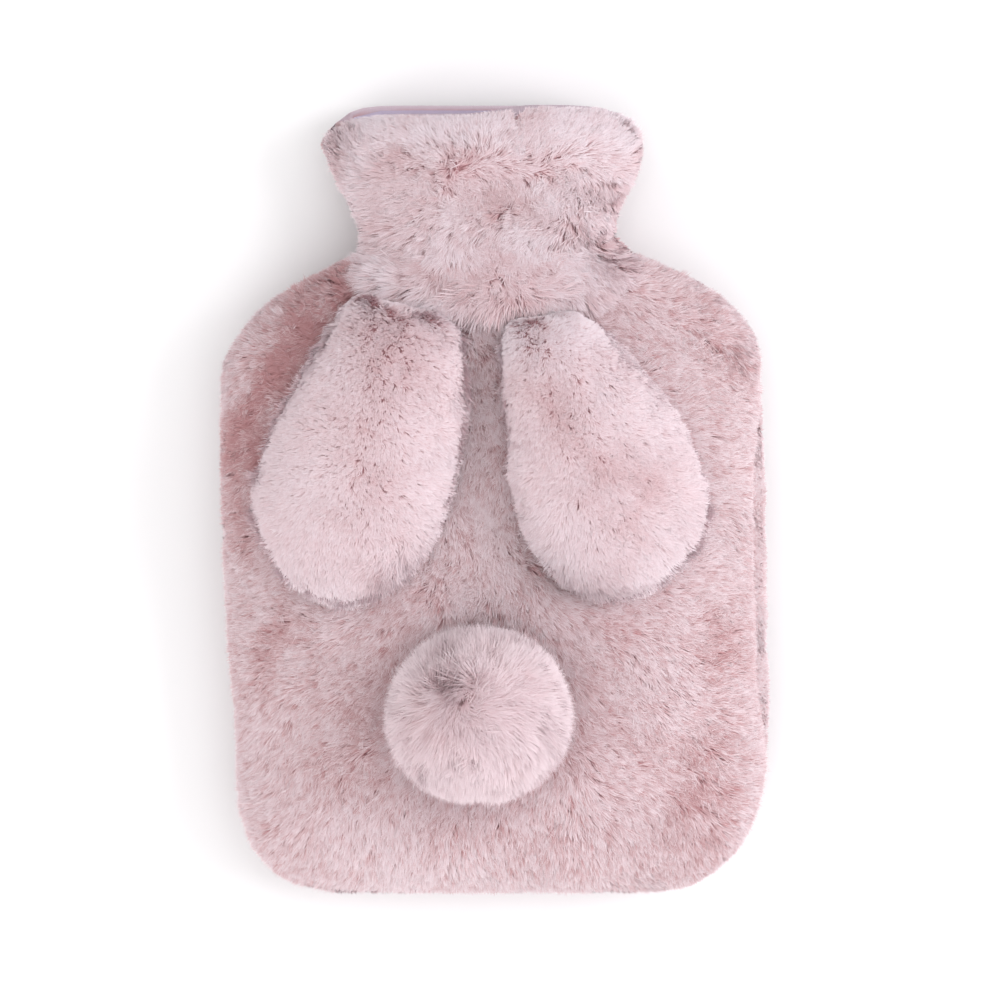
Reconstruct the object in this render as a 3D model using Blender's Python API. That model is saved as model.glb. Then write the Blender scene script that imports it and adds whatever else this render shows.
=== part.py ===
"""Plush cover for a hot water bottle, lying on its back, with two floppy ears and a pompom tail.

Lengths are millimetres until a mesh is made, which is in metres. +X runs across the cover, +Y from its
foot to its mouth, and +Z up from the surface that it lies on. The origin is under the middle of its box.

Front and back are thick plush walls round the bottle's space. They meet at the side seam, a level plane
half way up. Each wall reaches from its cloth to the tips of its pile.
"""
from collections import namedtuple
import math

import bpy
import numpy as np
from mathutils import Quaternion, Vector, noise

MM = 0.001
GAP = 0.3

# The cover's outline, seen from the front: its left and right edge at each height.
Edge = namedtuple("Edge", "y left right")
OUTLINE = (
    Edge(-165.0, -64.5, 65.0),
    Edge(-162.7, -77.0, 77.5),
    Edge(-159.4, -85.5, 86.5),
    Edge(-151.0, -96.0, 97.5),
    Edge(-142.5, -102.0, 104.5),
    Edge(-126.0, -106.5, 111.0),
    Edge(-99.0, -108.0, 114.5),
    Edge(-59.0, -111.0, 113.5),
    Edge(-26.0, -113.0, 113.0),
    Edge(16.0, -114.5, 112.5),
    Edge(41.0, -114.0, 111.5),
    Edge(58.0, -113.0, 111.0),
    Edge(66.0, -108.5, 110.0),
    Edge(74.5, -102.0, 105.5),
    Edge(83.0, -94.0, 97.5),
    Edge(91.5, -80.0, 85.5),
    Edge(99.5, -64.0, 68.5),
    Edge(104.0, -57.5, 58.0),
    Edge(108.0, -56.5, 52.5),
    Edge(111.5, -57.0, 50.5),
    Edge(116.5, -58.5, 51.5),
    Edge(124.5, -62.0, 55.0),
    Edge(133.0, -66.5, 59.0),
    Edge(141.5, -70.0, 62.0),
    Edge(149.0, -72.5, 62.5),
)

# How far the front stands over the side seam, and how far the back hangs under it, on the middle line.
Depth = namedtuple("Depth", "y front back")
DEPTHS = (
    Depth(-165.0, 32.0, 31.0),
    Depth(-100.0, 33.5, 31.5),
    Depth(-20.0, 35.5, 32.0),
    Depth(45.0, 34.0, 31.0),
    Depth(80.0, 30.0, 27.0),
    Depth(104.0, 26.0, 22.5),
    Depth(125.0, 25.0, 21.5),
    Depth(165.0, 24.0, 21.0),
)

SEAM_HEIGHT = 28.0
SECTION_POWER = 2.6
SECTION_FLATNESS = 0.6
FOOT_ROUNDING = 36.0
FOOT_POWER = 2.2
FOOT_ROWS = 7
WALL = 11.0
NECK_WALL = 8.0
THROAT_FROM = 80.0

# Along the right side the front is cut a little narrower, so the back's pile shows past it.
RIGHT_INSET = 4.2
RIGHT_INSET_FROM = -114.0
RIGHT_INSET_TO = 48.0
RIGHT_INSET_FADE = 36.0

# The mouth: its rim, its round corners, and the dip of the front rim that shows the inside of the back.
MOUTH_TOP = 165.0
MOUTH_CORNER_DROP = 14.0
MOUTH_CORNER_POWER = 9
FRONT_RIM_DIP = 4.0
FRONT_RIM_LEVEL = 0.4
FRONT_RIM_DIP_FROM = 17.0
FRONT_RIM_DIP_TO = -12.0
RIM_ROUNDING = 3.5
# The rows over the rim's rounded edge: how far each lies below the rim, and how far into the wall.
RimRow = namedtuple("RimRow", "below inward")
RIM_ROWS = (RimRow(1.0, 1.2), RimRow(0.0, 4.2), RimRow(1.0, 8.0))
RIM_INNER_DROP = 1.5

# The seam at the neck's foot, a shallow bow from side to side, and how far the neck's pile stands over it.
NECK_SEAM_TOP = 104.0
NECK_SEAM_HALF = 58.0
NECK_SEAM_DROP = 25.0
NECK_SEAM_POWER = 2.5
NECK_PILE_OVER = 4.5
NECK_PILE_FADING = 0.55
SEAM_CLEARANCE = 0.4

# Soft forms of the front: low lumps, long creases and shallow hollows.
LUMP_HEIGHT = 1.5
LUMP_LENGTH = 34.0
CALM_ROUND_EARS = 30.0
CALM_EASING = 25.0
Crease = namedtuple("Crease", "points depth reach")
CREASES = (
    Crease(((29.0, -131.0), (41.0, -141.0), (53.0, -150.0), (62.0, -163.0)), 4.0, 5.0),
    Crease(((82.0, -78.0), (82.0, -107.0), (88.0, -122.0), (86.0, -142.0)), 3.5, 5.0),
)
Hollow = namedtuple("Hollow", "x y across along depth")
HOLLOWS = (
    Hollow(75.0, -126.0, 11.0, 17.0, 3.0),
    Hollow(-95.0, 45.0, 9.0, 26.0, 2.5),
    Hollow(-3.0, 30.0, 7.0, 24.0, 2.0),
    Hollow(-88.0, -46.0, 14.0, 20.0, 2.0),
    Hollow(30.0, -60.0, 16.0, 12.0, 1.5),
)

# An ear: a row for each section from its root to its tip, with its reach to either side of the axis,
# its thickness and the height of its rim over the front.
EarRow = namedtuple("EarRow", "along left right thick rim")
EAR_LEFT_ROOT = (-33.4, 83.0)
EAR_LEFT_TIP = (-70.6, -42.4)
EAR_LEFT_ROWS = (
    EarRow(0.0, 22.0, 20.5, 2.4, 1.2),
    EarRow(8.0, 27.5, 26.0, 9.0, 3.0),
    EarRow(25.0, 33.5, 33.0, 17.0, 6.0),
    EarRow(45.0, 37.5, 37.5, 21.5, 8.0),
    EarRow(70.0, 41.5, 38.5, 25.0, 9.0),
    EarRow(90.0, 42.0, 38.0, 25.5, 9.0),
    EarRow(108.0, 37.5, 34.0, 24.0, 9.0),
    EarRow(120.0, 30.0, 28.5, 22.0, 9.0),
    EarRow(127.0, 24.5, 23.0, 21.0, 9.0),
    EarRow(131.2, 17.5, 16.5, 20.0, 9.0),
)
EAR_RIGHT_ROOT = (19.2, 83.0)
EAR_RIGHT_TIP = (56.8, -41.1)
EAR_RIGHT_ROWS = (
    EarRow(0.0, 15.0, 16.0, 2.4, 1.2),
    EarRow(8.0, 21.5, 19.5, 9.5, 3.0),
    EarRow(25.0, 26.0, 26.0, 17.0, 6.0),
    EarRow(45.0, 29.5, 35.0, 22.0, 8.0),
    EarRow(70.0, 34.5, 42.0, 25.5, 9.0),
    EarRow(90.0, 34.0, 43.5, 26.0, 9.0),
    EarRow(108.0, 29.5, 41.0, 24.5, 9.0),
    EarRow(120.0, 24.5, 34.0, 22.0, 9.0),
    EarRow(126.0, 20.5, 28.5, 21.0, 9.0),
    EarRow(130.0, 15.0, 19.0, 20.0, 9.0),
)
EAR_TIP_ROUNDING = 24.0
EAR_TIP_BOW = 6.0
EAR_TIP_BOW_FROM = 0.75
EAR_ROWS = 18
EAR_COLUMNS = 16
EAR_CREST_POWER = 2.4
EAR_SOLE_POWER = 5.0
EAR_LUMP = 0.8
EAR_LUMP_LENGTH = 22.0
EAR_ROOT_EASING = 22.0
EAR_ROOT_ROUNDING = 10.0
EAR_CLEARANCE = 0.4

# The pompom sits in a shallow seat that it presses into the front's pile.
POMPOM_AT = (-6.3, -88.8)
POMPOM_WIDTH = 79.5
POMPOM_LENGTH = 74.0
POMPOM_RISE = 62.0
POMPOM_MIDDLE = 27.0
POMPOM_LOCK = 8.0
POMPOM_LOCK_SHORTEST = 3.0
# A lock's rings: how far out each lies along the lock, and its width as a share of the lock's place.
LockRing = namedtuple("LockRing", "out width")
POMPOM_LOCK_RINGS = (LockRing(0.0, 0.9), LockRing(0.74, 0.76))
POMPOM_LOCK_UNEVEN = 0.14
POMPOM_LOCK_LEAN = 1.6
POMPOM_LOCK_TWIST = math.radians(9.0)
POMPOM_CUTS = 6
POMPOM_UNEVEN = 0.035
POMPOM_SEED = 11
POMPOM_CLEARANCE = 0.4
SEAT_HEIGHT = 58.5
SEAT_RADIUS = 28.0
SEAT_REACH = 47.0

# The smooth facing inside the back of the mouth.
FACING_THICKNESS = 1.2
FACING_LENGTH = 28.0
FACING_BELOW_RIM = 2.2
FACING_CLEARANCE = 0.9
FACING_ROWS = 5

BODY_COLUMNS = 34
BODY_ROWS = 30
BACK_COLUMNS = 24
BACK_WAIST = 43.0
BACK_THROAT = 116.0


def smooth_step(value):
    """Rise from 0 to 1 with level ends as value goes from 0 to 1."""
    t = np.clip(value, 0.0, 1.0)
    return t * t * (3.0 - 2.0 * t)


def curve_through(xs, ys):
    """Return a smooth function through the points that never overshoots them."""
    xs = np.asarray(xs, float)
    ys = np.asarray(ys, float)
    steps = np.diff(xs)
    slopes = np.diff(ys) / steps
    tangents = np.concatenate(([slopes[0]], np.zeros(len(xs) - 2), [slopes[-1]]))
    same_way = slopes[:-1] * slopes[1:] > 0.0
    before = slopes[:-1][same_way]
    after = slopes[1:][same_way]
    tangents[1:-1][same_way] = 2.0 * before * after / (before + after)

    def value(x):
        x = np.clip(np.asarray(x, float), xs[0], xs[-1])
        i = np.clip(np.searchsorted(xs, x, side="right") - 1, 0, len(steps) - 1)
        h = steps[i]
        t = (x - xs[i]) / h
        rise = t * t * (3.0 - 2.0 * t)
        lead = t * (1.0 - t) ** 2 * h
        trail = t * t * (t - 1.0) * h
        return ys[i] * (1.0 - rise) + ys[i + 1] * rise + tangents[i] * lead + tangents[i + 1] * trail

    return value


edge_heights = [row.y for row in OUTLINE]
left_edge = curve_through(edge_heights, [row.left for row in OUTLINE])
right_edge = curve_through(edge_heights, [row.right for row in OUTLINE])
depth_heights = [row.y for row in DEPTHS]
front_depth = curve_through(depth_heights, [row.front for row in DEPTHS])
back_depth = curve_through(depth_heights, [row.back for row in DEPTHS])
FOOT = OUTLINE[0].y


def right_inset(y):
    """How much narrower than the back the front is on the right side at height y."""
    entering = smooth_step((y - RIGHT_INSET_FROM) / RIGHT_INSET_FADE)
    leaving = smooth_step((RIGHT_INSET_TO - y) / RIGHT_INSET_FADE)
    return RIGHT_INSET * entering * leaving


def span(y, front):
    """Middle and half width of the front or the back at height y."""
    right = right_edge(y) - (right_inset(y) if front else 0.0)
    left = left_edge(y)
    return (left + right) / 2.0, (right - left) / 2.0


def crown(y, front):
    """Height of the front over the side seam, or depth of the back, rounded off towards the foot."""
    full = front_depth(y) if front else back_depth(y)
    left_over = np.clip(1.0 - (y - FOOT) / FOOT_ROUNDING, 0.0, 1.0)
    return full * (1.0 - left_over ** FOOT_POWER) ** (1.0 / FOOT_POWER)


def section_height(u):
    """Height of the cover's rounded cross-section at u, from -1 to 1 across it, as a share of its crown."""
    return np.clip(1.0 - np.abs(u) ** SECTION_POWER, 0.0, 1.0) ** (1.0 / SECTION_POWER)


def columns_across(count):
    """Places from -1 to 1 across the cover, closer together at the rounded sides."""
    turn = np.linspace(-math.pi / 2.0, math.pi / 2.0, 2001)
    u = np.sign(turn) * np.abs(np.sin(turn)) ** (2.0 / SECTION_POWER)
    travelled = np.cumsum(np.hypot(np.diff(u), SECTION_FLATNESS * np.diff(section_height(u))))
    travelled = np.concatenate(([0.0], travelled)) / travelled[-1]
    places = np.interp(np.linspace(0.0, 1.0, count + 1), travelled, u)
    return (places - places[::-1]) / 2.0


def wall_frame(u, y, front):
    """Points of the plain wall at u across and y along it, and the unit directions out of it."""
    u, y = np.broadcast_arrays(np.asarray(u, float), np.asarray(y, float))
    middle, half = span(y, front)
    rise = crown(y, front)
    share = section_height(u)
    up = 1.0 if front else -1.0
    seam = SEAM_HEIGHT + up * GAP / 2.0
    points = np.stack((middle + half * u, y, seam + up * rise * share), axis=-1)

    step = 0.05
    low = np.maximum(y - step, FOOT)
    high = y + step
    apart = high - low
    middle_slope = (span(high, front)[0] - span(low, front)[0]) / apart
    half_slope = (span(high, front)[1] - span(low, front)[1]) / apart
    rise_slope = (crown(high, front) - crown(low, front)) / apart
    sideways = np.sign(u) * np.abs(u) ** (SECTION_POWER - 1.0) * rise / half
    lengthways = sideways * (-middle_slope - u * half_slope) - share ** SECTION_POWER * rise_slope
    out = np.stack((sideways, lengthways, up * share ** (SECTION_POWER - 1.0)), axis=-1)
    out[y <= FOOT] = (0.0, -1.0, 0.0)
    return points, out / np.linalg.norm(out, axis=-1, keepdims=True)


def neck_seam(x):
    """Height of the seam at the neck's foot at x across the cover."""
    share = np.clip(np.abs(x) / NECK_SEAM_HALF, 0.0, 1.0)
    return NECK_SEAM_TOP - NECK_SEAM_DROP * (1.0 - share ** NECK_SEAM_POWER) ** (1.0 / NECK_SEAM_POWER)


def neck_seam_on_column(u):
    """Height at which each column of the front crosses the seam at the neck's foot."""
    low = np.full(len(u), NECK_SEAM_TOP - NECK_SEAM_DROP)
    high = np.full(len(u), NECK_SEAM_TOP)
    for _ in range(40):
        y = (low + high) / 2.0
        middle, half = span(y, True)
        above = y > neck_seam(middle + half * u)
        high = np.where(above, y, high)
        low = np.where(above, low, y)
    return (low + high) / 2.0


def rim(u, front):
    """Height of the mouth's rim across the front or the back."""
    top = MOUTH_TOP - MOUTH_CORNER_DROP * np.abs(u) ** MOUTH_CORNER_POWER
    if not front:
        return top
    middle, half = span(MOUTH_TOP, True)
    x = middle + half * u
    dipped = smooth_step((x - FRONT_RIM_DIP_FROM) / (FRONT_RIM_DIP_TO - FRONT_RIM_DIP_FROM))
    return top - FRONT_RIM_LEVEL - (FRONT_RIM_DIP - FRONT_RIM_LEVEL) * dipped


def distance_to_line(x, y, points):
    """Distance of each (x, y) from a line through a few points."""
    nearest = np.full(np.shape(x), np.inf)
    for (ax, ay), (bx, by) in zip(points, points[1:]):
        length = (bx - ax) ** 2 + (by - ay) ** 2
        along = np.clip(((x - ax) * (bx - ax) + (y - ay) * (by - ay)) / length, 0.0, 1.0)
        nearest = np.minimum(nearest, np.hypot(x - ax - along * (bx - ax), y - ay - along * (by - ay)))
    return nearest


def lumps(x, y, length):
    """Uneven swell of the plush, between about -1 and 1."""
    flat = [noise.noise(Vector((px / length, py / length, 3.1))) for px, py in zip(x.ravel(), y.ravel())]
    return 2.0 * np.array(flat).reshape(x.shape)


def calm(x, y):
    """0 under the ears and the pompom, where the pile is pressed even, and 1 away from them."""
    ears = np.minimum(
        distance_to_line(x, y, (EAR_LEFT_ROOT, EAR_LEFT_TIP)),
        distance_to_line(x, y, (EAR_RIGHT_ROOT, EAR_RIGHT_TIP)),
    )
    tail = np.hypot(x - POMPOM_AT[0], y - POMPOM_AT[1])
    round_ears = smooth_step((ears - CALM_ROUND_EARS) / CALM_EASING)
    return round_ears * smooth_step((tail - SEAT_RADIUS) / CALM_EASING)


def front_relief(x, y):
    """Lumps, creases and hollows of the front, as a height added to its plain form."""
    relief = LUMP_HEIGHT * lumps(x, y, LUMP_LENGTH) * calm(x, y)
    for crease in CREASES:
        relief -= crease.depth * np.exp(-(distance_to_line(x, y, crease.points) / crease.reach) ** 2)
    for hollow in HOLLOWS:
        away = ((x - hollow.x) / hollow.across) ** 2 + ((y - hollow.y) / hollow.along) ** 2
        relief -= hollow.depth * np.exp(-away) * calm(x, y)
    return relief


def inner_side(points, out, keep=2):
    """Points of a wall's inner side, under every second point of its outer side unless told otherwise."""
    thinner = smooth_step((points[..., 1:2] - THROAT_FROM) / (NECK_SEAM_TOP - THROAT_FROM))
    wall = WALL + (NECK_WALL - WALL) * thinner
    return (points - wall * out)[::keep, ::keep].copy()


def over_seam(points):
    """Height of the front's points over the side seam, as a share of the front's full depth there."""
    return (points[..., 2] - SEAM_HEIGHT - GAP / 2.0) / front_depth(points[..., 1])


def settle_front(points):
    """Give points of the front's plain wall its relief and the pompom's seat."""
    x = points[..., 0]
    y = points[..., 1]
    z = points[..., 2] + front_relief(x, y) * over_seam(points) ** 2
    pressed = 1.0 - smooth_step((np.hypot(x - POMPOM_AT[0], y - POMPOM_AT[1]) - SEAT_RADIUS)
                                / (SEAT_REACH - SEAT_RADIUS))
    z = z + (SEAT_HEIGHT - z) * pressed
    return np.stack((x, y, z), axis=-1)


def front_height(x, y):
    """Height of the body's front over the surface at x and y."""
    middle, half = span(y, True)
    u = np.clip((x - middle) / half, -1.0, 1.0)
    points, _ = wall_frame(u, y, True)
    return settle_front(points)[..., 2]


def grid_faces(rows, columns, start, flip):
    """Quads of a grid of points whose indices begin at start."""
    faces = []
    for row in range(rows - 1):
        for column in range(columns - 1):
            a = start + row * columns + column
            quad = (a, a + 1, a + columns + 1, a + columns)
            faces.append(quad[::-1] if flip else quad)
    return faces


def grid_border(rows, columns, start):
    """Indices round the border of a grid, first along its first row."""
    first = [start + column for column in range(columns - 1)]
    right = [start + row * columns + columns - 1 for row in range(rows - 1)]
    last = [start + (rows - 1) * columns + column for column in range(columns - 1, 0, -1)]
    left = [start + row * columns for row in range(rows - 1, 0, -1)]
    return first + right + last + left


def add_object(name, vertices, faces, finish):
    """Make a smooth-shaded mesh object from points in millimetres."""
    mesh = bpy.data.meshes.new(name)
    mesh.from_pydata([tuple(float(c) * MM for c in vertex) for vertex in vertices], [], faces)
    mesh.validate()
    mesh.shade_smooth()
    mesh.materials.append(finish)
    made = bpy.data.objects.new(name, mesh)
    bpy.context.collection.objects.link(made)
    return made


def add_shell(name, outer, inner, finish, facing_down=False):
    """Close a wall between a grid of its outer points and one of its inner points, half as fine."""
    rows, columns = outer.shape[:2]
    inner_rows, inner_columns = inner.shape[:2]
    ratio = (columns - 1) // (inner_columns - 1)
    start = rows * columns
    vertices = np.concatenate((outer.reshape(-1, 3), inner.reshape(-1, 3)))
    faces = grid_faces(rows, columns, 0, facing_down)
    faces += grid_faces(inner_rows, inner_columns, start, not facing_down)
    outside = grid_border(rows, columns, 0)
    inside = grid_border(inner_rows, inner_columns, start)
    for k, near in enumerate(inside):
        far = inside[(k + 1) % len(inside)]
        run = [outside[(k * ratio + i) % len(outside)] for i in range(ratio + 1)]
        half = ratio // 2
        edge = [(run[i + 1], run[i], near) for i in range(half)]
        edge += [(far, run[half], near)] if ratio > 1 else []
        edge += [(run[i + 1], run[i], far) for i in range(half, ratio)]
        edge += [(far, run[0], near)] if ratio == 1 else []
        faces += [face[::-1] for face in edge] if facing_down else edge
    return add_object(name, vertices, faces, finish)


def finish(name, colour, roughness):
    """A plain cloth material."""
    made = bpy.data.materials.new(name)
    made.use_nodes = True
    shader = made.node_tree.nodes["Principled BSDF"]
    shader.inputs["Base Color"].default_value = (*colour, 1.0)
    shader.inputs["Roughness"].default_value = roughness
    shader.inputs["Metallic"].default_value = 0.0
    made.diffuse_color = (*colour, 1.0)
    return made


def draw_back(points, row, out, side):
    """Draw one row of a wall back from the seam that it follows, by half the gap between two pieces."""
    run = np.gradient(points[row], axis=0)
    way = side * np.cross(out[row], run)
    way[[0, -1], 2] = 0.0
    points[row] += SEAM_CLEARANCE / 2.0 * way / np.linalg.norm(way, axis=-1, keepdims=True)


def foot_steps():
    """Distances from the foot of the rows that round it off."""
    turns = np.linspace(0.0, math.pi / 2.0, FOOT_ROWS + 1)[:-1]
    return FOOT_ROUNDING * (1.0 - np.cos(turns))


def body_front():
    """The body's front wall, from the foot to the seam at the neck's foot."""
    u = columns_across(BODY_COLUMNS)
    top = neck_seam_on_column(u)
    length = NECK_SEAM_TOP - NECK_SEAM_DROP - FOOT
    steps = np.concatenate((foot_steps(), np.linspace(FOOT_ROUNDING, length, BODY_ROWS)))
    share = (steps / length)[:, None]
    y = FOOT + (top - FOOT)[None, :] * share
    points, out = wall_frame(u[None, :], y, True)
    outer = settle_front(points)
    inner = inner_side(points, out)
    draw_back(outer, -1, out, -1.0)
    draw_back(inner, -1, out[::2, ::2], -1.0)
    return add_shell("body_front", outer, inner, finish("body_plush", (0.62, 0.42, 0.43), 0.95))


def rim_rows(u, front, start, shares):
    """Heights and inward shifts of the rows from start up to the rim and over its rounded edge."""
    top = rim(u, front)
    plain_top = top - RIM_ROUNDING
    heights = [start + (plain_top - start) * share for share in shares]
    shifts = [0.0] * len(shares)
    heights += [top - row.below for row in RIM_ROWS]
    shifts += [row.inward for row in RIM_ROWS]
    return np.array(heights), np.array(shifts)


def turn_in(inner, y):
    """Set the last two rows of a wall's inner side just under the rounded edge of its rim."""
    inner[-1, :, 1] = y[-1, ::2] - RIM_INNER_DROP
    inner[-2, :, 1] = (inner[-1, :, 1] + inner[-3, :, 1]) / 2.0


def neck_front():
    """The neck's front wall, from its foot to the mouth's front rim."""
    u = columns_across(BODY_COLUMNS)
    shares = (0.0, 0.018, 0.06, 0.12, 0.20, 0.29, 0.38, 0.47, 0.56, 0.65, 0.74, 0.83, 0.92, 1.0)
    lip = (0.35, 0.85, 1.0)
    bottom = neck_seam_on_column(u)
    y, shifts = rim_rows(u, True, bottom, shares)
    points, out = wall_frame(u[None, :], y, True)
    outer = settle_front(points)
    over = np.ones(len(y))
    over[:len(lip)] = lip
    fading = 1.0 - NECK_PILE_FADING * smooth_step((y - bottom) / (MOUTH_TOP - bottom))
    outer[..., 2] += NECK_PILE_OVER * over[:, None] * fading * over_seam(points) ** 2
    outer -= shifts[:, None, None] * out
    inner = inner_side(points, out)
    turn_in(inner, y)
    draw_back(outer, 0, out, 1.0)
    draw_back(inner, 0, out[::2, ::2], 1.0)
    return add_shell("neck_front", outer, inner, finish("neck_plush", (0.66, 0.47, 0.49), 0.95))


def back_panel():
    """The back wall in one piece, flat where it lies on the surface."""
    u = columns_across(BACK_COLUMNS)
    below_waist = np.linspace(FOOT + FOOT_ROUNDING, BACK_WAIST, 14)[:-1]
    over_waist = np.linspace(BACK_WAIST, BACK_THROAT, 14)
    heights = np.concatenate((FOOT + foot_steps(), below_waist, over_waist))
    mouth, shifts = rim_rows(u, False, BACK_THROAT, (0.25, 0.5, 0.75, 1.0))
    y = np.concatenate((np.repeat(heights[:, None], len(u), axis=1), mouth))
    shifts = np.concatenate((np.zeros(len(heights)), shifts))
    points, out = wall_frame(u[None, :], y, False)
    outer = points - shifts[:, None, None] * out
    outer[..., 2] = np.maximum(outer[..., 2], 0.0)
    inner = inner_side(points, out)
    turn_in(inner, y)
    plush = finish("back_plush", (0.58, 0.39, 0.40), 0.95)
    return add_shell("back_panel", outer, inner, plush, facing_down=True)


def mouth_facing():
    """The smooth strip that faces the inside of the back at the mouth."""
    u = columns_across(BACK_COLUMNS)[::2][1:-1]
    top = rim(u, False) - FACING_BELOW_RIM
    shares = np.linspace(1.0, 0.0, FACING_ROWS)
    y = top[None, :] - FACING_LENGTH * shares[:, None]
    points, out = wall_frame(u[None, :], y, False)
    lining = inner_side(points, out, keep=1)
    under = lining - FACING_CLEARANCE * out
    over = under - FACING_THICKNESS * out
    satin = finish("facing_satin", (0.60, 0.53, 0.63), 0.45)
    return add_shell("mouth_facing", under, over, satin, facing_down=True)


def ear(name, root, tip, rows, tint):
    """A lightly stuffed ear that lies on the body's front, its root at the seam of the neck's foot."""
    root = np.array(root)
    axis = np.array(tip) - root
    length = np.linalg.norm(axis)
    axis /= length
    side = np.array((-axis[1], axis[0]))
    turns = np.linspace(0.0, 1.0, EAR_ROWS + 1)
    along = length * (0.35 * turns + 0.65 * np.sin(turns * math.pi / 2.0))
    across = np.sin(np.linspace(-1.0, 1.0, EAR_COLUMNS + 1) * math.pi / 2.0)
    places = [row.along for row in rows]
    left = curve_through(places, [row.left for row in rows])(along)[:, None]
    right = curve_through(places, [row.right for row in rows])(along)[:, None]
    thick = curve_through(places, [row.thick for row in rows])(along)[:, None]
    edge = curve_through(places, [row.rim for row in rows])(along)[:, None]

    reach = np.where(across < 0.0, across * left, across * right)
    bowed = smooth_step((along / length - EAR_TIP_BOW_FROM) / (1.0 - EAR_TIP_BOW_FROM))
    down = along[:, None] - EAR_TIP_BOW * bowed[:, None] * across ** 2
    x = root[0] + down * axis[0] + reach * side[0]
    y = root[1] + down * axis[1] + reach * side[1]
    seam = neck_seam(x) - EAR_CLEARANCE
    y = y + (seam - y)[0] * (1.0 - smooth_step(along / EAR_ROOT_EASING)[:, None])
    y = np.minimum(y, seam)

    tip_left = np.clip((length - along) / EAR_TIP_ROUNDING, 0.0, 1.0)[:, None]
    tip_crest = (1.0 - (1.0 - tip_left) ** EAR_CREST_POWER) ** (1.0 / EAR_CREST_POWER)
    tip_sole = (1.0 - (1.0 - tip_left) ** EAR_SOLE_POWER) ** (1.0 / EAR_SOLE_POWER)
    root_crest = np.sqrt(smooth_step(along / EAR_ROOT_ROUNDING))[:, None]
    crest = (1.0 - np.abs(across) ** EAR_CREST_POWER) ** (1.0 / EAR_CREST_POWER)
    sole = (1.0 - np.abs(across) ** EAR_SOLE_POWER) ** (1.0 / EAR_SOLE_POWER)
    crest = crest[None, :] * tip_crest * root_crest
    sole = sole[None, :] * tip_sole * root_crest

    ground = front_height(x, y) + EAR_CLEARANCE
    upper = ground + edge + (thick - edge) * crest + EAR_LUMP * lumps(x, y, EAR_LUMP_LENGTH) * crest
    lower = ground + edge * (1.0 - sole)
    top = np.stack((x, y, upper), axis=-1)
    under = np.stack((x, y, lower), axis=-1)

    rows_in, columns_in = x.shape
    inside = [(r, c) for r in range(1, rows_in - 1) for c in range(1, columns_in - 1)]
    under_index = {(r, c): r * columns_in + c for r in range(rows_in) for c in range(columns_in)}
    for number, place in enumerate(inside):
        under_index[place] = rows_in * columns_in + number
    vertices = np.concatenate((top.reshape(-1, 3), np.array([under[place] for place in inside])))
    faces = grid_faces(rows_in, columns_in, 0, True)
    for r in range(rows_in - 1):
        for c in range(columns_in - 1):
            corners = ((r, c), (r, c + 1), (r + 1, c + 1), (r + 1, c))
            faces.append(tuple(under_index[corner] for corner in corners))
    return add_object(name, vertices, faces, finish(name + "_plush", tint, 0.95))


def cube_directions(cuts):
    """Unit directions through an even grid on a cube, and its quads, facing out."""
    indices = {}
    directions = []
    faces = []
    ticks = [math.tan(math.pi / 4.0 * (2.0 * i / cuts - 1.0)) for i in range(cuts + 1)]
    for normal in range(3):
        for way in (-1.0, 1.0):
            for i in range(cuts):
                for j in range(cuts):
                    quad = []
                    for a, b in ((i, j), (i + 1, j), (i + 1, j + 1), (i, j + 1)):
                        corner = [0.0, 0.0, 0.0]
                        corner[normal] = way
                        corner[(normal + 1) % 3] = ticks[a]
                        corner[(normal + 2) % 3] = ticks[b]
                        key = tuple(round(c, 6) for c in corner)
                        if key not in indices:
                            indices[key] = len(directions)
                            directions.append(np.array(corner) / np.linalg.norm(corner))
                        quad.append(indices[key])
                    faces.append(quad if way > 0.0 else quad[::-1])
    return np.array(directions), faces


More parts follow.
